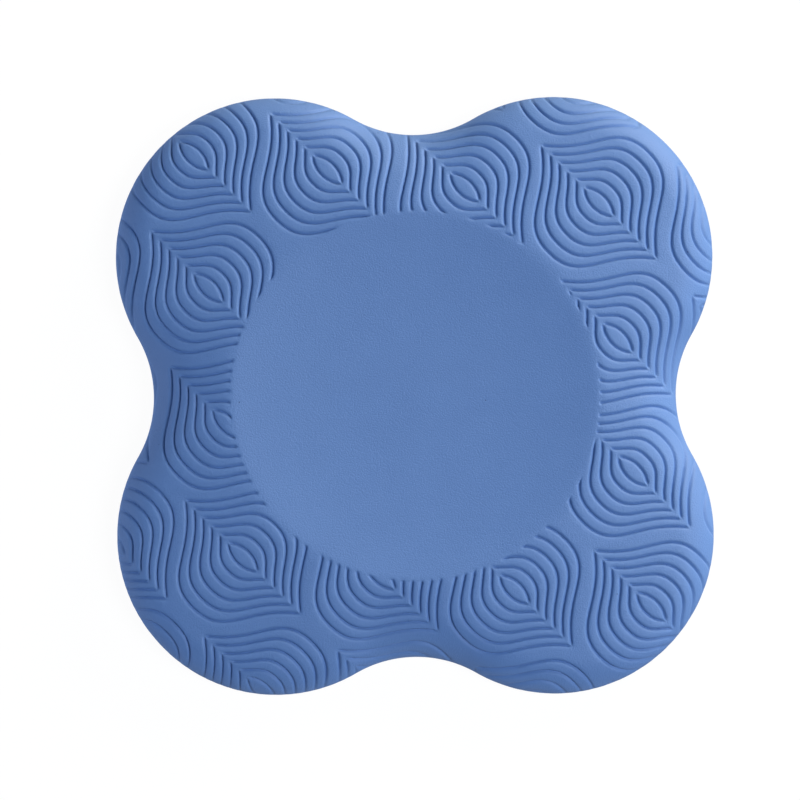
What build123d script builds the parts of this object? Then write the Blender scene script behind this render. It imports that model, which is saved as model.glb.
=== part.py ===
from build123d import *
import os
from math import asin, degrees, sqrt

os.makedirs("parts", exist_ok=True)

# Balance pad: a soft moulded pad with four round lobes and a shallow round dish.
# It lies flat on the floor. The origin is the middle of its underside, +Z is up,
# and the four waists between the lobes face +X, +Y, -X and -Y.
# All lengths are in millimetres.

# Outline, seen from above
pad_width = 200.0  # over two neighbouring lobes, along X and along Y
lobe_radius = 53.3  # each lobe is a round of this radius
waist_radius = 40.2  # the hollow arc that joins two lobes

# Height
pad_height = 20.0  # floor to the rim of the dish, the highest line of the pad
dish_radius = 61.6
dish_depth = 3.6  # from the rim of the dish down to its middle
rim_slope = 4.5  # degrees: outside the dish the top falls away at this slope
fall_radius = 550.0  # and ever more steeply towards the lobes' tips, on an arc of this radius
fall_angle = 7.5  # degrees of that arc, enough to pass the tips
edge_roll = 9.5  # radius of the soft upper edge
floor_roll = 3.0  # radius of the lower edge, where the pad meets the floor
rim_roll = 2.5  # the rim of the dish is eased by this

# Layers of the moulding
skin = 1.2  # thickness of the dense skin that the foam forms against the mould
parting_height = 4.0  # the two halves of the mould meet at the widest line

lobe_offset = pad_width / 2 - lobe_radius
waist_offset = lobe_offset + sqrt((lobe_radius + waist_radius) ** 2 - lobe_offset**2)
waist_half_angle = degrees(asin(lobe_offset / (lobe_radius + waist_radius)))
dish_sphere_radius = (dish_radius**2 + dish_depth**2) / (2 * dish_depth)


def outline(inset):
    """The eight tangent arcs of the pad's edge, drawn in by inset."""
    for quarter in range(4):
        turn = 90 * quarter
        lobe_centre = Vector(lobe_offset, lobe_offset).rotate(Axis.Z, turn)
        waist_centre = Vector(waist_offset, 0).rotate(Axis.Z, turn)
        lobe_start = turn - waist_half_angle
        waist_start = turn + 180 - waist_half_angle
        CenterArc(lobe_centre, lobe_radius - inset, lobe_start, 90 + 2 * waist_half_angle)
        CenterArc(waist_centre, waist_radius + inset, waist_start, 2 * waist_half_angle)


def top_profile(inset):
    """Half of the pad's section: the dish, its rim and the fall towards a lobe's tip."""
    rim = pad_height - inset
    dish = RadiusArc((0, rim - dish_depth), (dish_radius, rim), -dish_sphere_radius)
    fall = JernArc(dish @ 1, Vector(1, 0).rotate(Axis.Z, -rim_slope), fall_radius, -fall_angle)
    Polyline(fall @ 1, ((fall @ 1).X, 0), (0, 0), dish @ 0)


def moulding(inset):
    """The whole pad drawn in by inset on every side: 0 is the pad's outside."""
    with BuildPart() as body:
        with BuildSketch(Plane.XY.offset(inset)):
            with BuildLine():
                outline(inset)
            make_face()
        extrude(amount=pad_height)
        with BuildSketch(Plane.XZ):
            with BuildLine():
                top_profile(inset)
            make_face()
        revolve(axis=Axis.Z, mode=Mode.INTERSECT)
        fillet(body.edges().filter_by(GeomType.BSPLINE), radius=edge_roll - inset)
        fillet(body.edges().filter_by(GeomType.CIRCLE).group_by(Axis.Z)[-1], radius=rim_roll)
        fillet(body.edges().group_by(Axis.Z)[0], radius=floor_roll - inset)
    return body.part


outside = moulding(0)
inside = moulding(skin)

# The foam core, which carries the load
with BuildPart() as foam_core:
    add(inside)
foam_core.part.label = "foam_core"

# The upper skin covers the dish and the ring, and rolls over the edge to the parting line
with BuildPart() as top_skin:
    add(outside)
    split(bisect_by=Plane.XY.offset(parting_height), keep=Keep.TOP)
    add(inside, mode=Mode.SUBTRACT)
top_skin.part.label = "top_skin"

# The lower skin is a shallow tray that grips the floor and rises to the parting line
with BuildPart() as base_skin:
    add(outside)
    split(bisect_by=Plane.XY.offset(parting_height), keep=Keep.BOTTOM)
    add(inside, mode=Mode.SUBTRACT)
base_skin.part.label = "base_skin"

for piece in (foam_core, top_skin, base_skin):
    export_step(piece.part, f"parts/{piece.part.label}.step")
    print(piece.part.label, round(piece.part.volume), "mm3")
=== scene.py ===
import math

import bmesh
import bpy
import numpy as np
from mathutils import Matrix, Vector, kdtree
from mathutils.geometry import delaunay_2d_cdt


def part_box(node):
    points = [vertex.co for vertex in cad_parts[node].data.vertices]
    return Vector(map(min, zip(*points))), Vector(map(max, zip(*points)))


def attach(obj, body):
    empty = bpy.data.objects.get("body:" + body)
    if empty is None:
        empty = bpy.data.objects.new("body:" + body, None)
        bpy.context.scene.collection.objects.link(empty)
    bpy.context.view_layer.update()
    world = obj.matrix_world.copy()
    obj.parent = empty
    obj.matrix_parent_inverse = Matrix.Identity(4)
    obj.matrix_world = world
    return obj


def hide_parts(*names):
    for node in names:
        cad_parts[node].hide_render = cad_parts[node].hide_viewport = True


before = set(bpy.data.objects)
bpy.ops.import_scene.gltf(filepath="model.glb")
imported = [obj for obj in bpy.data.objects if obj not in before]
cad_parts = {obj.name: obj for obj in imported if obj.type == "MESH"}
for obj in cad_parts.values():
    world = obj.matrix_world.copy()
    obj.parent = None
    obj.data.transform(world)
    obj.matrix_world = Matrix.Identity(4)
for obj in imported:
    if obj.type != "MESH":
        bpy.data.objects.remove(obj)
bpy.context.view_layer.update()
mm = 0.001

# The pad's form. Outline, layers and heights are those of the CAD solids, the top's curves are finer.
padForm = {
    "lobeRadius": 53.3 * mm,
    "waistRadius": 40.2 * mm,      # the hollow arc between two lobes
    "dishRadius": 61.6 * mm,
    "dishDepth": 3.6 * mm,
    "dishCurve": 2.6,              # above 2 the dish is flatter in the middle and steeper at its rim
    "rimEase": 0.7 * mm,           # how near dish and ring come in height before their ridge is rounded
    "fallNear": 3.9 * mm,          # the ring falls away from the dish by this much ...
    "fallFar": (3.8 * mm, 5.0 * mm),      # ... and, ever steeper, by this at a lobe and at a waist
    "edgeWidth": (10.5 * mm, 15.0 * mm),  # the soft roll over the edge, at a lobe and at a waist
    "partingHeight": 4.0 * mm,
    "partingNick": 0.15 * mm,      # both skins draw in by this where the mould halves met
    "floorRoll": 3.0 * mm,
    "skin": 1.2 * mm,
    "innerRings": 14,              # rings of faces in the skin's inner wall and in the foam
    "rollShare": 0.4,              # this much of them goes to the roll over the edge
    "smoothUnder": math.radians(60),      # sharper corners stay sharp
}

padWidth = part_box("top_skin")[1].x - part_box("top_skin")[0].x
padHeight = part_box("top_skin")[1].z
lobeOffset = padWidth / 2 - padForm["lobeRadius"]
arcReach = padForm["lobeRadius"] + padForm["waistRadius"]
waistOffset = lobeOffset + math.sqrt(arcReach ** 2 - lobeOffset ** 2)


def outlineRadius(angle, inset):
    # how far out the pad's edge is at this angle, once it is drawn in by inset
    lobe = padForm["lobeRadius"] - inset
    waist = padForm["waistRadius"] + inset
    fromWaist = np.abs((angle + math.pi / 4) % (math.pi / 2) - math.pi / 4)
    fromLobe = math.pi / 4 - fromWaist
    lobeMiddle = lobeOffset * math.sqrt(2)
    crown = np.maximum(lobe ** 2 - (lobeMiddle * np.sin(fromLobe)) ** 2, 0)
    onLobe = lobeMiddle * np.cos(fromLobe) + np.sqrt(crown)
    hollow = np.maximum(waist ** 2 - (waistOffset * np.sin(fromWaist)) ** 2, 0)
    onWaist = waistOffset * np.cos(fromWaist) - np.sqrt(hollow)
    toJoint = lobe / arcReach
    jointAngle = np.arctan2(lobeOffset * (1 - toJoint), lobeOffset + (waistOffset - lobeOffset) * toJoint)
    return np.where(fromWaist < jointAngle, onWaist, onLobe)


def insetAt(x, y):
    # how far inside the pad's edge a place is, seen from above
    wide = np.maximum(np.abs(x), np.abs(y))
    narrow = np.minimum(np.abs(x), np.abs(y))
    fromWaist = np.hypot(waistOffset - wide, narrow) - padForm["waistRadius"]
    fromLobe = padForm["lobeRadius"] - np.hypot(wide - lobeOffset, narrow - lobeOffset)
    byWaist = narrow * (waistOffset - lobeOffset) < lobeOffset * (waistOffset - wide)
    return np.where(byWaist, fromWaist, fromLobe)


def topHeight(x, y, inset):
    # the moulded top before it is engraved: a shallow dish in a ring that rolls over the edge
    radius = np.hypot(x, y)
    widths = outlineRadius(np.array((math.pi / 4, 0)), 0) - padForm["dishRadius"]
    ringWidth = outlineRadius(np.arctan2(y, x), 0) - padForm["dishRadius"]
    atWaist = (widths[0] - ringWidth) / (widths[0] - widths[1])
    fallFar, edgeWidth = [onLobe + (onWaist - onLobe) * atWaist
                          for onLobe, onWaist in (padForm["fallFar"], padForm["edgeWidth"])]
    edgeDrop = padHeight - padForm["partingHeight"] - padForm["fallNear"] - fallFar
    out = (radius - padForm["dishRadius"]) / ringWidth
    steep = np.clip(1 - inset / edgeWidth, 0, 1)
    ring = padHeight - padForm["fallNear"] * out - fallFar * out * np.abs(out)
    ring = ring - edgeDrop * (1 - np.sqrt(1 - steep ** 2))
    dish = padHeight - padForm["dishDepth"] * (1 - (radius / padForm["dishRadius"]) ** padForm["dishCurve"])
    near = np.maximum(padForm["rimEase"] - np.abs(dish - ring), 0) / padForm["rimEase"]
    return np.minimum(dish, ring) - near ** 2 * padForm["rimEase"] / 4


def readPoints(piece):
    points = np.empty(len(piece.data.vertices) * 3)
    piece.data.vertices.foreach_get("co", points)
    return points.reshape(-1, 3)


def readNormals(piece):
    normals = np.empty(len(piece.data.vertices) * 3)
    piece.data.vertex_normals.foreach_get("vector", normals)
    return normals.reshape(-1, 3)


def writePoints(piece, points):
    piece.data.vertices.foreach_set("co", points.ravel())
    piece.data.update()


def makeActive(piece):
    bpy.ops.object.select_all(action="DESELECT")
    bpy.context.view_layer.objects.active = piece
    piece.select_set(True)


def pick(test):
    # selects, in edit mode, the vertices that pass the test and the edges and faces between them
    mesh = bpy.context.object.data
    work = bmesh.from_edit_mesh(mesh)
    for vertex in work.verts:
        vertex.select = test(vertex)
    work.select_flush_mode()
    bmesh.update_edit_mesh(mesh)


def faceOutwards(piece, weld=0):
    # merges doubles nearer than weld, and turns every face to the outside
    makeActive(piece)
    bpy.ops.object.mode_set(mode="EDIT")
    bpy.ops.mesh.select_mode(type="VERT")
    bpy.ops.mesh.select_all(action="SELECT")
    if weld:
        bpy.ops.mesh.remove_doubles(threshold=weld)
    bpy.ops.mesh.normals_make_consistent(inside=False)
    bpy.ops.object.mode_set(mode="OBJECT")


def faceUp(piece, weld=0):
    # the same for an open sheet, which has no inside
    faceOutwards(piece, weld)
    if np.mean([face.normal.z for face in piece.data.polygons]) < 0:
        piece.data.flip_normals()


def selectRim(piece, below):
    # selects, in edit mode, the open edges that lie lower than below
    bpy.ops.mesh.select_mode(type="EDGE")
    bpy.ops.mesh.select_all(action="DESELECT")
    bpy.ops.mesh.select_non_manifold(extend=False)
    work = bmesh.from_edit_mesh(piece.data)
    for edge in work.edges:
        if edge.verts[0].co.z > below:
            edge.select = False
    bmesh.update_edit_mesh(piece.data)


def joinPieces(main, *others):
    makeActive(main)
    for piece in others:
        piece.select_set(True)
    bpy.ops.object.join()
    return main


def flatRings(name, around, rings):
    # rings of faces from radius 1 out to radius 2, extruded from a circle
    bpy.ops.object.select_all(action="DESELECT")
    bpy.ops.mesh.primitive_circle_add(vertices=around, radius=1, fill_type="NOTHING")
    disc = bpy.context.object
    disc.name = name
    bpy.ops.object.mode_set(mode="EDIT")
    bpy.ops.mesh.select_mode(type="VERT")
    bpy.ops.mesh.select_all(action="SELECT")
    for ring in range(rings):
        bpy.ops.mesh.extrude_region_move()
        grow = (rings + ring + 1) / (rings + ring)
        bpy.ops.transform.resize(value=(grow, grow, 1))
    bpy.ops.object.mode_set(mode="OBJECT")
    return disc


def flatDisc(name, around, rings):
    # the same rings, with a grid of faces that fills the circle inside them
    disc = flatRings(name, around, rings)
    bpy.ops.object.mode_set(mode="EDIT")
    pick(lambda vertex: vertex.co.length < 1 + 0.5 / rings)
    bpy.ops.mesh.select_mode(type="EDGE")
    bpy.ops.mesh.fill_grid(span=around // 4)
    bpy.ops.mesh.select_mode(type="VERT")
    bpy.ops.object.mode_set(mode="OBJECT")
    return disc


def polar(piece):
    points = readPoints(piece)
    return np.hypot(points[:, 0], points[:, 1]), np.arctan2(points[:, 1], points[:, 0])


def place(piece, radius, angle, height):
    writePoints(piece, np.column_stack((radius * np.cos(angle), radius * np.sin(angle), height)))


def pressTop(disc, shrink):
    # gives a flat disc the form of the top, drawn in by shrink on every side
    reach, angle = polar(disc)
    rollShare = padForm["rollShare"]
    row = np.clip(2 - reach, 0, 1)
    turn = np.clip(row / rollShare, 0, 1) * math.pi / 2
    inset = padForm["edgeWidth"][0] * (1 - np.cos(turn))
    rolled = outlineRadius(angle, inset)
    inward = np.clip((row - rollShare) / (1 - rollShare), 0, 1)
    radius = rolled + (padForm["dishRadius"] - rolled) * inward
    radius = np.where(reach < 1, padForm["dishRadius"] * reach, radius)
    height = topHeight(radius * np.cos(angle), radius * np.sin(angle), np.where(reach < 1, 1, inset))
    place(disc, radius, angle, height)
    faceUp(disc)
    points = readPoints(disc) - readNormals(disc) * shrink
    rim = row < 0.5 / padForm["innerRings"]
    edge = outlineRadius(angle[rim], shrink)
    points[rim] = np.column_stack((edge * np.cos(angle[rim]), edge * np.sin(angle[rim]),
                                   np.full(rim.sum(), padForm["partingHeight"])))
    writePoints(disc, points)
    return disc


# The engraving: nested eyes in rows, every other row set on by half a repeat
engraving = {
    "firstEye": (61.43 * mm, 64.2 * mm),
    "turn": math.radians(-44.9),   # the eyes look along this line
    "turnWide": math.radians(44.65),      # neighbouring eyes stand along this one
    "repeatLong": 71.45 * mm,
    "repeatWide": 55.75 * mm,
    "setOn": 0.77 * mm,            # every other row is set on by half a repeat and this much more
    "reach": 8,                    # rows each way from the first eye, more than the pad has
    "lines": 6,                    # from the pupil to the outermost line
    # half length, half width, how far it stays flat over the crown and straight at the tip, its slope there
    "pupil": (6.9 * mm, 2.6 * mm, 2.55 * mm, 2.55 * mm, 0.726),
    # the lines round the pupil take the same five measures, and grow by the later numbers from line to line
    "tip": (6.8 * mm, 4.05 * mm),
    "crown": (2.45 * mm, 4.27 * mm),
    "crownEase": (3.97 * mm, 2.24 * mm),
    "tipEase": (2.39 * mm, 2.42 * mm, 0.16 * mm),
    "tipSlope": 0.62,              # radians between a line and the eye's length at the tip
    "tipDepth": 0.12,              # share of the depth that is left where two lines meet in a tip
    "tipFade": 1.5 * mm,
    "lineWidth": 0.44 * mm,        # this far from its middle a groove is still a third as deep
    "depth": 0.8 * mm,
    "pillow": 0.05 * mm,           # the bands between the lines are crowned by this
    "pillowWidth": 1.4 * mm,
    "edgeDepth": 0.55,             # share of the depth that is left at the pad's edge
    "edgeFade": 5.0 * mm,
    "partingFade": 1.5 * mm,       # above the parting line the engraving dies out within this height
    "dishReach": 0.35 * mm,        # the lines run this far over the rim of the dish
    "dishFade": 0.65 * mm,
    "blankMiddle": 40 * mm,        # no eye stands nearer to the middle of the dish
}

# The mesh that carries the engraving: points run along every line, in rails beside it
sheetMesh = {
    "rails": (0.19 * mm, 0.4 * mm, 0.66 * mm, 1.05 * mm),
    "railStep": 0.55 * mm,
    "slack": 0.02 * mm,            # a rail may come this much too near to another line
    "fine": 0.06 * mm,             # spacing of the points that distances are taken from
    "band": 1.3 * mm,              # spacing of the points between the lines
    "bandClear": 0.25 * mm,        # which keep this much more than the last rail away from a line
    "dish": 2.6 * mm,
    "dishBand": (-3.4 * mm, 2.4 * mm),    # between these, round the dish, only rings and rails have points
    "dishRims": (-2.2, -1.4, -0.7, -0.1, 0.25, 1.0, 1.8),      # mm outside the rim of the dish
    "dishRimStep": 0.8 * mm,
    "edgeRims": (1.7, 2.3, 3.0, 3.8, 4.7, 5.7, 6.8, 8.0, 9.3, 10.7),      # mm inside the pad's edge
    "edgeRimAround": 700,
    "edgeBand": 1.2 * mm,          # from here outwards the edge is made of even rings
    "edgeClear": (0.2 * mm, 0.3 * mm),    # all points, and those of the band, keep this far inside them
    "edgeRings": 9,
    "around": 2000,
    "apart": 0.13 * mm,            # of points nearer than this, one is kept
    "weld": 0.02 * mm,
}


def eyeLine(index, step):
    # one quarter of a line, from the crown to the tip, as points that are evenly spaced
    tip, crown, crownEase, tipEase = [
        sum(part * index ** power for power, part in enumerate(engraving[name]))
        for name in ("tip", "crown", "crownEase", "tipEase")]
    slope = engraving["tipSlope"]
    if index == 0:
        tip, crown, crownEase, tipEase, slope = engraving["pupil"]
    t = np.linspace(0, 1, 400)[:, None]
    late = (tip - tipEase * math.cos(slope), tipEase * math.sin(slope))
    curve = ((1 - t) ** 3 * (0, crown) + 3 * (1 - t) ** 2 * t * (crownEase, crown)
             + 3 * (1 - t) * t ** 2 * late + t ** 3 * (tip, 0))
    travelled = np.concatenate(((0,), np.cumsum(np.hypot(*np.diff(curve, axis=0).T))))
    stops = np.linspace(0, travelled[-1], round(travelled[-1] / step) + 1)
    return np.column_stack([np.interp(stops, travelled, curve[:, side]) for side in (0, 1)])


def everyEye(quarter):
    # mirrors a quarter about both axes of an eye, and sets it down at every eye near the pad
    eye = np.concatenate([quarter * (sideX, sideY) for sideX in (1, -1) for sideY in (1, -1)])
    along = np.array((math.cos(engraving["turn"]), math.sin(engraving["turn"])))
    across = np.array((math.cos(engraving["turnWide"]), math.sin(engraving["turnWide"])))
    eye = eye[:, :1] * along + eye[:, 1:] * (-along[1], along[0])
    placed = []
    reach = range(-engraving["reach"], engraving["reach"] + 1)
    for column in reach:
        for row in reach:
            middle = (np.array(engraving["firstEye"]) + along * engraving["repeatLong"] / 2 * column
                      + across * engraving["repeatWide"] / 2 * row
                      + along * engraving["setOn"] * (column % 2))
            if (column + row) % 2 == 0 and engraving["blankMiddle"] < np.hypot(*middle) < padWidth * 0.75:
                placed.append(eye + middle)
    return np.concatenate(placed)


def nearest(points):
    # a search tree of the points that are on the pad or just outside its edge
    points = points[insetAt(points[:, 0], points[:, 1]) > -2 * mm]
    tree = kdtree.KDTree(len(points))
    for index, point in enumerate(points):
        tree.insert((point[0], point[1], 0), index)
    tree.balance()
    return tree


def awayFrom(tree, points):
    return np.array([tree.find((point[0], point[1], 0))[2] for point in points])


def railPoints(tree):
    # rails keep their distance from every line, so those that cross near a tip are trimmed there
    kept = []
    for index in range(engraving["lines"]):
        line = eyeLine(index, sheetMesh["railStep"])
        run = np.gradient(line, axis=0)
        aside = np.column_stack((-run[:, 1], run[:, 0])) / np.hypot(run[:, 0], run[:, 1])[:, None]
        kept.append(everyEye(line))
        for rail in sheetMesh["rails"]:
            fan = np.linspace(-math.pi / 2, math.pi / 2, 5 + round(5 * rail / mm))
            roundTip = line[-1] + rail * np.column_stack((np.cos(fan), np.sin(fan)))
            beside = everyEye(np.concatenate((line + aside * rail, line - aside * rail, roundTip)))
            kept.append(beside[awayFrom(tree, beside) > rail - sheetMesh["slack"]])
    return np.concatenate(kept)


def evenPoints(step, reach):
    # a triangular lattice
    side = np.arange(-reach, reach, step)
    x, y = np.meshgrid(side, side * math.sqrt(3) / 2)
    x = x + (np.arange(len(side)) % 2)[:, None] * step / 2
    return np.column_stack((x.ravel(), y.ravel()))


def ringPoints(radius, step):
    angle = np.arange(0, 2 * math.pi, step / radius)
    return np.column_stack((radius * np.cos(angle), radius * np.sin(angle)))


def sheetPoints(tree):
    dish = padForm["dishRadius"]
    rails = railPoints(tree)
    rails = rails[np.hypot(rails[:, 0], rails[:, 1]) > dish - engraving["dishReach"]]
    between = [evenPoints(sheetMesh["band"], padWidth * 0.6)]
    for inset in sheetMesh["edgeRims"]:
        angle = np.linspace(-math.pi, math.pi, sheetMesh["edgeRimAround"], endpoint=False)
        radius = outlineRadius(angle, inset * mm)
        between.append(np.column_stack((radius * np.cos(angle), radius * np.sin(angle))))
    between = np.concatenate(between)
    between = between[np.hypot(between[:, 0], between[:, 1]) > dish + sheetMesh["dishBand"][1]]
    edge, bandEdge = [sheetMesh["edgeBand"] + clear for clear in sheetMesh["edgeClear"]]
    between = between[insetAt(between[:, 0], between[:, 1]) > bandEdge]
    between = between[awayFrom(tree, between) > sheetMesh["rails"][-1] + sheetMesh["bandClear"]]
    rims = [ringPoints(dish + out * mm, sheetMesh["dishRimStep"]) for out in sheetMesh["dishRims"]]
    middle = evenPoints(sheetMesh["dish"], dish)
    middle = middle[np.hypot(middle[:, 0], middle[:, 1]) < dish + sheetMesh["dishBand"][0]]
    points = np.concatenate([rails] + rims + [between, middle])
    points = points[insetAt(points[:, 0], points[:, 1]) > edge]
    cell = np.round(points / sheetMesh["apart"]).astype(int)
    keep = np.unique(cell, axis=0, return_index=True)[1]
    return points[np.sort(keep)]


def ease(share):
    # 0 to 1, setting off and arriving gently
    share = np.clip(share, 0, 1)
    return share ** 2 * (3 - 2 * share)


def engrave(piece, tree, tips):
    points = readPoints(piece)
    radius = np.hypot(points[:, 0], points[:, 1])
    away = awayFrom(tree, points)
    cut = engraving["depth"] * np.exp(-(away / engraving["lineWidth"]) ** 2)
    cut = cut + engraving["pillow"] * np.exp(-(away / engraving["pillowWidth"]) ** 2)
    atTip = ease(awayFrom(tips, points) / engraving["tipFade"])
    atTip = engraving["tipDepth"] + (1 - engraving["tipDepth"]) * atTip
    # the lines stop at the dish, and grow shallow where the mould's wall steepens
    atDish = ease((radius - padForm["dishRadius"] + engraving["dishReach"]) / engraving["dishFade"])
    inset = insetAt(points[:, 0], points[:, 1])
    atEdge = np.clip(inset / engraving["edgeFade"], 0, 1)
    atEdge = engraving["edgeDepth"] + (1 - engraving["edgeDepth"]) * atEdge
    atEdge = atEdge * np.clip((points[:, 2] - padForm["partingHeight"]) / engraving["partingFade"], 0, 1)
    cut = cut * atTip * atDish * atEdge
    writePoints(piece, points - readNormals(piece) * cut[:, None])


def makeOuterTop():
    lines = [eyeLine(index, sheetMesh["fine"]) for index in range(engraving["lines"])]
    tree = nearest(everyEye(np.concatenate(lines)))
    tips = nearest(everyEye(np.array([line[-1] for line in lines])))
    # even rings from the parting line up to where the sheet begins
    edge = flatRings("skinTop", sheetMesh["around"], sheetMesh["edgeRings"])
    reach, angle = polar(edge)
    lastTurn = math.acos(1 - sheetMesh["edgeBand"] / padForm["edgeWidth"][0])
    turn = (2 - reach) * lastTurn
    inset = np.clip(padForm["edgeWidth"][0] * (1 - np.cos(turn)), 0, None)
    radius = outlineRadius(angle, inset)
    height = topHeight(radius * np.cos(angle), radius * np.sin(angle), inset)
    atParting = reach > 2 - 0.5 / sheetMesh["edgeRings"]
    place(edge, np.where(atParting, radius - padForm["partingNick"], radius), angle, height)
    # the sheet inside them, triangulated between points that follow the engraved lines
    start = np.linspace(-math.pi, math.pi, sheetMesh["around"], endpoint=False) + math.pi / 2
    border = outlineRadius(start, sheetMesh["edgeBand"])
    border = np.column_stack((border * np.cos(start), border * np.sin(start)))
    points = np.concatenate((border, sheetPoints(tree)))
    count = len(border)
    borderEdges = [(index, (index + 1) % count) for index in range(count)]
    flat, _, faces, _, _, _ = delaunay_2d_cdt(
        [Vector(point) for point in points / mm], borderEdges, [], 1, 1e-5, False)
    flat = np.array(flat) * mm
    # it also fills the waists, between points of the border only
    middle = np.array([flat[list(face)].mean(axis=0) for face in faces])
    inside = insetAt(middle[:, 0], middle[:, 1]) > sheetMesh["edgeBand"]
    faces = [face for face, wanted in zip(faces, inside) if wanted or max(face) >= count]
    height = topHeight(flat[:, 0], flat[:, 1], insetAt(flat[:, 0], flat[:, 1]))
    mesh = bpy.data.meshes.new("sheet")
    mesh.from_pydata(np.column_stack((flat, height)), [], faces)
    sheet = bpy.data.objects.new("sheet", mesh)
    bpy.context.scene.collection.objects.link(sheet)
    outer = joinPieces(edge, sheet)
    faceUp(outer, sheetMesh["weld"])
    engrave(outer, tree, tips)
    print("top skin engraved:", len(outer.data.polygons), "faces")
    return outer


def closeShell(outer, inner):
    # joins the two walls and closes the gap between their rims, which lie in the parting plane
    shell = joinPieces(outer, inner)
    bpy.ops.object.mode_set(mode="EDIT")
    selectRim(shell, below=padHeight)
    bpy.ops.mesh.fill(use_beauty=True)
    bpy.ops.object.mode_set(mode="OBJECT")
    faceOutwards(shell)
    bpy.ops.object.shade_smooth_by_angle(angle=padForm["smoothUnder"])
    return shell


skinInside = pressTop(flatDisc("skinInside", 360, padForm["innerRings"]), padForm["skin"])
skinTop = closeShell(makeOuterTop(), skinInside)
skinTop.name = "skinTop"
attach(skinTop, "root")
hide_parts("top_skin")
print("top skin closed:", len(skinTop.data.polygons), "faces")

# The lower skin: a tray that stands on a flat border and on a field of low round grips
gripForm = {
    "border": 10.0 * mm,           # width of the flat ring that stands on the floor round the field
    # from the border up to the field, in three steps: how far in, and the share of the height
    "lip": ((0.3 * mm, 0.15), (0.6 * mm, 0.8), (0.9 * mm, 1)),
    "fieldHeight": 0.7 * mm,       # the field between the grips clears the floor by this
    "pitch": 6.0 * mm,
    "turn": math.radians(45),
    "foot": 1.9 * mm,              # radius of a grip where it leaves the field
    "crown": 1.25 * mm,            # radius of its flattened crown
    "crownHeight": 0.08 * mm,      # the crown's edge clears the floor by this, its middle touches
    "around": 480,
    "reach": 15,                   # grips each way from the middle, before the field is trimmed
    "trim": 1.6 * mm,              # the nearest grip's square keeps this far from the border
    "weld": 0.05 * mm,
    "inside": (20 * mm, 38 * mm),  # rings of the inner floor, as far in from the edge as this
}


def ringed(name, rows):
    # rings round the pad, from the outermost in, each given as its inset and its height
    piece = flatRings(name, gripForm["around"], len(rows) - 1)
    reach, angle = polar(piece)
    row = np.round((2 - reach) * (len(rows) - 1)).astype(int)
    inset, height = np.array(rows).T
    place(piece, outlineRadius(angle, inset[row]), angle, height[row])
    return piece


def floorRoll(inset):
    # the quarter round from the side wall to the floor, drawn in by inset
    radius = padForm["floorRoll"] - inset
    turns = [math.radians(15 * turn) for turn in range(7)]
    return [(inset + radius * (1 - math.cos(turn)), inset + radius * (1 - math.sin(turn)))
            for turn in turns]


def makeGripTile():
    # one square of the field with one grip hanging from it: rings of vertices from 0, its middle, to 3
    bpy.ops.object.select_all(action="DESELECT")
    bpy.ops.mesh.primitive_grid_add(x_subdivisions=6, y_subdivisions=6, size=gripForm["pitch"])
    tile = bpy.context.object
    tile.name = "gripField"
    points = readPoints(tile)
    ring = np.round(np.abs(points[:, :2]).max(axis=1) / gripForm["pitch"] * 6)
    angle = np.arctan2(points[:, 1], points[:, 0])
    for which, radius, height in (
            (2, gripForm["foot"], gripForm["fieldHeight"]),
            (1, gripForm["crown"], gripForm["crownHeight"]),
            (0, 0, 0)):
        on = ring == which
        points[on] = np.column_stack((radius * np.cos(angle[on]), radius * np.sin(angle[on]),
                                      np.full(on.sum(), height)))
    points[ring == 3, 2] = gripForm["fieldHeight"]
    writePoints(tile, points)
    return tile


def makeGripField():
    field = makeGripTile()
    pitch = gripForm["pitch"]
    for axis in range(2):
        rows = field.modifiers.new("rows", "ARRAY")
        rows.count = 2 * gripForm["reach"] + 1
        rows.use_relative_offset = False
        rows.use_constant_offset = True
        rows.constant_offset_displace = [pitch if side == axis else 0 for side in range(3)]
        rows.use_merge_vertices = True
        rows.merge_threshold = gripForm["weld"]
        bpy.ops.object.modifier_apply(modifier="rows")
    points = readPoints(field)
    flat = points[:, :2] - gripForm["reach"] * pitch
    cos, sin = math.cos(gripForm["turn"]), math.sin(gripForm["turn"])
    turned = np.array(((cos, sin), (-sin, cos)))
    writePoints(field, np.column_stack((flat @ turned, points[:, 2])))
    # whole squares are trimmed where they would meet the border
    middles = np.array([flat[list(face.vertices)].mean(axis=0) for face in field.data.polygons])
    squares = np.round(middles / pitch) * pitch
    inside = np.ones(len(squares), bool)
    for corner in ((-0.5, -0.5), (-0.5, 0.5), (0.5, -0.5), (0.5, 0.5)):
        x, y = ((squares + np.array(corner) * pitch) @ turned).T
        inside = inside & (insetAt(x, y) > gripForm["border"] + gripForm["trim"])
    bpy.ops.object.mode_set(mode="EDIT")
    work = bmesh.from_edit_mesh(field.data)
    work.faces.ensure_lookup_table()
    doomed = [work.faces[index] for index in np.flatnonzero(~inside)]
    bmesh.ops.delete(work, geom=doomed, context="FACES")
    bmesh.update_edit_mesh(field.data)
    bpy.ops.object.mode_set(mode="OBJECT")
    return field


def makeTray(name, inset):
    # a shallow tray up to the parting line, drawn in by inset on every side
    floorRows = [(inward, inset) for inward in gripForm["inside"]]
    tray = ringed(name, [(inset, padForm["partingHeight"])] + floorRoll(inset) + floorRows)
    bpy.ops.object.mode_set(mode="EDIT")
    selectRim(tray, below=padForm["partingHeight"] / 2)
    bpy.ops.mesh.fill_grid(span=gripForm["around"] // 4)
    bpy.ops.object.mode_set(mode="OBJECT")
    return tray


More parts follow.
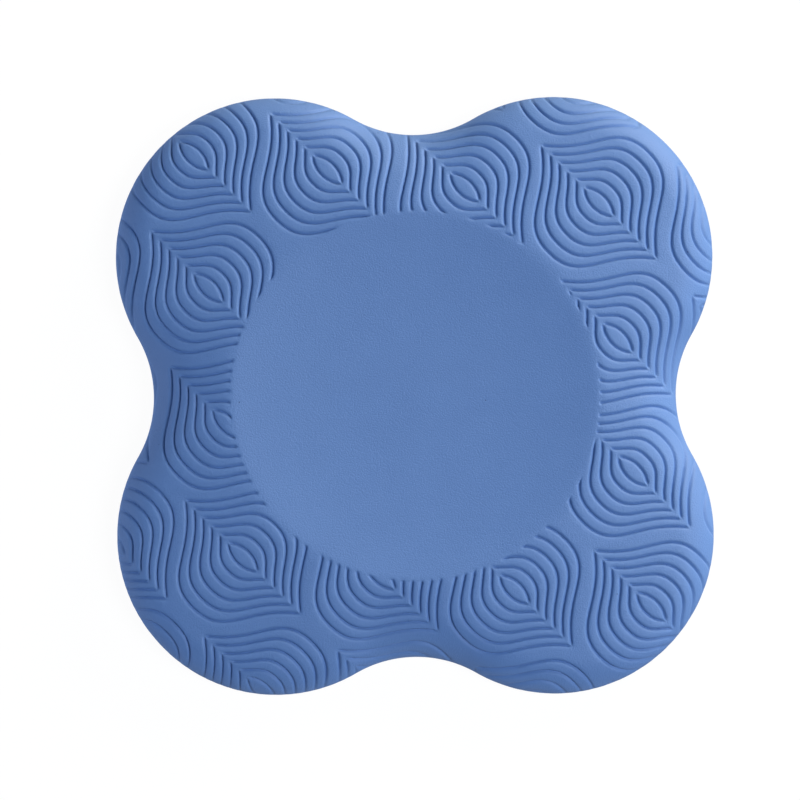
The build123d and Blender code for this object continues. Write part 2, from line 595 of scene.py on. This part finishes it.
def makeGripSkin():
    nick, parting, border = padForm["partingNick"], padForm["partingHeight"], gripForm["border"]
    step = gripForm["fieldHeight"]
    sideRows = [(nick, parting), (0, parting - 2 * nick)] + floorRoll(0)
    borderRows = [(border / 2, 0), (border, 0)]
    lipRows = [(border + inward, step * share) for inward, share in gripForm["lip"]]
    outer = ringed("gripSkin", sideRows + borderRows + lipRows)
    outer = joinPieces(outer, makeGripField())
    # joins the border's lip to the trimmed field
    bpy.ops.object.mode_set(mode="EDIT")
    selectRim(outer, below=parting / 2)
    bpy.ops.mesh.fill(use_beauty=True)
    bpy.ops.object.mode_set(mode="OBJECT")
    return closeShell(outer, makeTray("gripInside", padForm["skin"]))


gripSkin = makeGripSkin()
gripSkin.name = "gripSkin"
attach(gripSkin, "root")
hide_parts("base_skin")
print("grip skin closed:", len(gripSkin.data.polygons), "faces")

# The foam core fills the two skins
coreForm = {"clearance": 0.02 * mm, "weld": 0.02 * mm}


def makeCore():
    drawn = padForm["skin"] + coreForm["clearance"]
    upper = pressTop(flatDisc("foamCore", gripForm["around"], padForm["innerRings"]), drawn)
    core = joinPieces(upper, makeTray("coreUnder", drawn))
    faceOutwards(core, coreForm["weld"])
    bpy.ops.object.shade_smooth()
    return core


foamCore = makeCore()
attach(foamCore, "root")
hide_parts("foam_core")
print("foam core closed:", len(foamCore.data.polygons), "faces")

# Camera straight above, a long lens, the pad a little right of and above the middle
camera = {
    "width": 266.9 * mm,           # of the view, at the height of the engraving
    "height": 12 * mm,
    "distance": 1.6,
    "aim": (-4.97 * mm, -1.33 * mm),
    "roll": math.radians(-0.28),
}
bpy.ops.object.camera_add(location=(*camera["aim"], camera["distance"] + camera["height"]))
eye = bpy.context.object
eye.rotation_euler = (0, 0, camera["roll"])
eye.data.lens = eye.data.sensor_width * camera["distance"] / camera["width"]
bpy.context.scene.camera = eye


def linear(hexColour):
    # sRGB to linear, with an alpha of 1
    parts = [int(hexColour[i:i + 2], 16) / 255 for i in (1, 3, 5)]
    return tuple(p / 12.92 if p <= 0.04045 else ((p + 0.055) / 1.055) ** 2.4 for p in parts) + (1,)


def addNode(tree, kind, settings=None, links=None):
    # settings name a property of the node or an input, links name an input or give its number
    node = tree.nodes.new(kind)
    for key, value in (settings or {}).items():
        if isinstance(key, str) and hasattr(node, key):
            setattr(node, key, value)
        else:
            node.inputs[key].default_value = value
    for key, source in (links or {}).items():
        tree.links.new(source, node.inputs[key])
    return node


def newMaterial(name):
    material = bpy.data.materials.new(name)
    material.use_nodes = True
    material.node_tree.nodes.clear()
    return material, material.node_tree


# Integral-skin polyurethane foam, moulded in a blasted tool. The skin forms dense and closed
# against the cool mould: an even satin-matt blue with the tool's fine grain, a slight cloudiness
# where the mix flowed, and here and there a pinhole that a bubble left, its pit darkened with painted
# shade.
skinFinish = {
    "name": "mouldedPolyurethaneSkin",
    "colour": "#557BB5",
    "cloudColour": "#577DB7",
    # painted shade: the darker colour that a pinhole's pit is given
    "pinholeShadeColour": "#2F4A7C",
    "roughness": (0.62, 0.66),     # where the skin is densest, and where it is thinnest
    "cloud": 13 * mm,              # width of the lighter and darker clouds
    "grain": 0.5 * mm,             # the tool's grain, a little coarser than real so that it shows
    "grainDepth": 0.2 * mm,
    "pinholeCell": 11 * mm,        # one bubble in each cube of foam this wide; few touch the skin
    "pinholeRadius": 0.35 * mm,
    "pinholeDepth": 0.21 * mm,
}

# The underside: the same skin, its tool blasted coarser and its grips polished a little by the floor
gripFinish = dict(skinFinish, name="mouldedPolyurethaneGrip", grain=0.8 * mm, grainDepth=0.08 * mm,
                  roughness=(0.48, 0.6), pinholeCell=8 * mm)

# The foam inside: paler than its skin, because its cells scatter the light, and dull; the hollows of its
# cells are darkened with painted shade
foamFinish = {
    "name": "polyurethaneFoamCells",
    "wallColour": "#86A3CF",
    "hollowShadeColour": "#6C8CBF",
    "cell": 0.7 * mm,
    "cellDepth": 0.25 * mm,
    "roughness": 0.9,
}


def polyurethaneSkin(finish):
    material, tree = newMaterial(finish["name"])
    place = addNode(tree, "ShaderNodeTexCoord").outputs["Object"]
    cloud = addNode(tree, "ShaderNodeTexNoise", {
        "Scale": 1 / finish["cloud"], "Detail": 3.0, "Roughness": 0.55}, {"Vector": place})
    grain = addNode(tree, "ShaderNodeTexNoise", {
        "Scale": 1 / finish["grain"], "Detail": 2.0, "Roughness": 0.65}, {"Vector": place})
    bubble = addNode(tree, "ShaderNodeTexVoronoi", {"Scale": 1 / finish["pinholeCell"]}, {"Vector": place})
    pinhole = addNode(tree, "ShaderNodeMapRange", {
        "interpolation_type": "SMOOTHSTEP", "From Max": finish["pinholeRadius"] / finish["pinholeCell"],
        "To Min": 1.0, "To Max": 0.0}, {"Value": bubble.outputs["Distance"]})
    dense = addNode(tree, "ShaderNodeMapRange", {"From Min": 0.35, "From Max": 0.65},
                    {"Value": cloud.outputs["Fac"]})
    clouded = addNode(tree, "ShaderNodeMix", {
        "data_type": "RGBA", 6: linear(finish["colour"]), 7: linear(finish["cloudColour"])},
        {0: dense.outputs["Result"]})
    # the pinholes are coloured darker than the skin: painted shade in their pits
    colour = addNode(tree, "ShaderNodeMix", {"data_type": "RGBA", 7: linear(finish["pinholeShadeColour"])},
                     {0: pinhole.outputs["Result"], 6: clouded.outputs[2]})
    roughness = addNode(tree, "ShaderNodeMapRange", {
        "To Min": finish["roughness"][0], "To Max": finish["roughness"][1]},
        {"Value": dense.outputs["Result"]})
    grained = addNode(tree, "ShaderNodeBump", {"Strength": 1.0, "Distance": finish["grainDepth"]},
                      {"Height": grain.outputs["Fac"]})
    pitted = addNode(tree, "ShaderNodeBump", {
        "invert": True, "Strength": 1.0, "Distance": finish["pinholeDepth"]},
        {"Height": pinhole.outputs["Result"], "Normal": grained.outputs["Normal"]})
    shader = addNode(tree, "ShaderNodeBsdfPrincipled", {"IOR": 1.5}, {
        "Base Color": colour.outputs[2], "Roughness": roughness.outputs["Result"],
        "Normal": pitted.outputs["Normal"]})
    addNode(tree, "ShaderNodeOutputMaterial", None, {"Surface": shader.outputs["BSDF"]})
    return material


def polyurethaneFoam(finish):
    material, tree = newMaterial(finish["name"])
    place = addNode(tree, "ShaderNodeTexCoord").outputs["Object"]
    cells = addNode(tree, "ShaderNodeTexVoronoi", {
        "feature": "SMOOTH_F1", "Scale": 1 / finish["cell"]}, {"Vector": place})
    # the cells' hollows are coloured darker than their walls: painted shade
    colour = addNode(tree, "ShaderNodeMix", {
        "data_type": "RGBA", 6: linear(finish["hollowShadeColour"]), 7: linear(finish["wallColour"])},
        {0: cells.outputs["Distance"]})
    hollow = addNode(tree, "ShaderNodeBump", {"Strength": 1.0, "Distance": finish["cellDepth"]},
                     {"Height": cells.outputs["Distance"]})
    shader = addNode(tree, "ShaderNodeBsdfPrincipled", {"Roughness": finish["roughness"], "IOR": 1.5}, {
        "Base Color": colour.outputs[2], "Normal": hollow.outputs["Normal"]})
    addNode(tree, "ShaderNodeOutputMaterial", None, {"Surface": shader.outputs["BSDF"]})
    return material


for piece, material in (
        (skinTop, polyurethaneSkin(skinFinish)),
        (gripSkin, polyurethaneSkin(gripFinish)),
        (foamCore, polyurethaneFoam(foamFinish))):
    piece.data.materials.clear()
    piece.data.materials.append(material)
print("materials made")

# The pale floor glows like a lit white ground, and lies just clear of the pad's border
ground = {"size": 6, "drop": 0.02 * mm, "colour": "#404142", "glow": 0.96}
bpy.ops.mesh.primitive_plane_add(size=ground["size"], location=(0, 0, -ground["drop"]))
floor = bpy.context.object
floor.name = "floor"
floorMaterial, floorTree = newMaterial("paleStudioFloor")
floorShader = addNode(floorTree, "ShaderNodeBsdfPrincipled", {
    "Base Color": linear(ground["colour"]), "Roughness": 0.9, "Specular IOR Level": 0.0,
    "Emission Color": linear("#FFFFFF"), "Emission Strength": ground["glow"]})
addNode(floorTree, "ShaderNodeOutputMaterial", None, {"Surface": floorShader.outputs["BSDF"]})
floor.data.materials.append(floorMaterial)
floor.visible_glossy = False

# A low key over the pad's far right lobe draws the engraving; a fill from the left lights the steep edge
studio = {
    "keyLight": {"azimuth": 47, "elevation": 12, "power": 35.0, "colour": "#FFEFDA"},
    "upperLight": {"azimuth": 345, "elevation": 50, "power": 20.2, "colour": "#F8FAFF"},
    "fillLight": {"azimuth": 180, "elevation": 5, "power": 13.0, "colour": "#D6E7FF"},
}
softbox = {"distance": 1.6, "size": 0.7}
sky = {"colour": "#DEECFF", "strength": 0.17}


def softLight(name, azimuth, elevation, power, colour):
    azimuth, elevation = math.radians(azimuth), math.radians(elevation)
    direction = Vector((math.cos(azimuth) * math.cos(elevation),
                        math.sin(azimuth) * math.cos(elevation), math.sin(elevation)))
    bpy.ops.object.light_add(type="AREA", location=direction * softbox["distance"])
    light = bpy.context.object
    light.name = name
    light.rotation_euler = direction.to_track_quat("Z", "Y").to_euler()
    light.data.size = softbox["size"]
    light.data.energy = power
    light.data.color = linear(colour)[:3]


for name, light in studio.items():
    softLight(name, **light)
world = bpy.data.worlds.new("studioWorld")
bpy.context.scene.world = world
world.use_nodes = True
world.node_tree.nodes["Background"].inputs["Color"].default_value = linear(sky["colour"])
world.node_tree.nodes["Background"].inputs["Strength"].default_value = sky["strength"]
bpy.context.scene.view_settings.view_transform = "Standard"
print("floor, camera and lights set")
